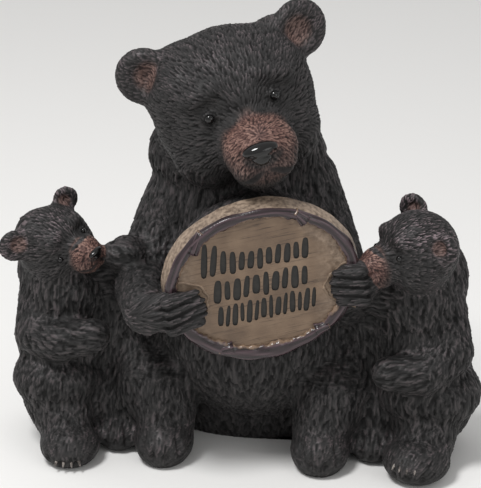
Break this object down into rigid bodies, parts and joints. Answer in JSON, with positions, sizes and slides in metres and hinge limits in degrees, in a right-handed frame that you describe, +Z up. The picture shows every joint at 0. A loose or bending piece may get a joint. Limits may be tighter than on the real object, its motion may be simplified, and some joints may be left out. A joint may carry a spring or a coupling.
{
  "type": "bear figurine",
  "caption": "Cast resin figurine of a seated mother bear holding an oval wooden plaque in both paws, with a cub sitting at each side; stands on its own flat underside.",
  "frame": {"origin": "on the ground plane under the middle of the figure's box", "axes": "+Z up; the bears' front and the plaque face -Y; +X is to the viewer's right when the front is looked at"},
  "size_m": [0.1682, 0.103, 0.1599],
  "materials": {
    "painted_resin": "cast resin, charcoal fur paint dry-brushed with warm grey",
    "muzzle_paint": "cast resin, reddish brown paint dry-brushed with tan",
    "gloss_black": "gloss lacquer on eyes, noses and claws",
    "plaque_paint": "cast resin painted as tan wood grain",
    "bark_paint": "cast resin painted as purple-brown bark, satin",
    "stroke_paint": "near-black paint in the carved strokes"
  },
  "bodies": {
    "root": {"bear_figurine": "painted_resin"}
  },
  "joints": []
}
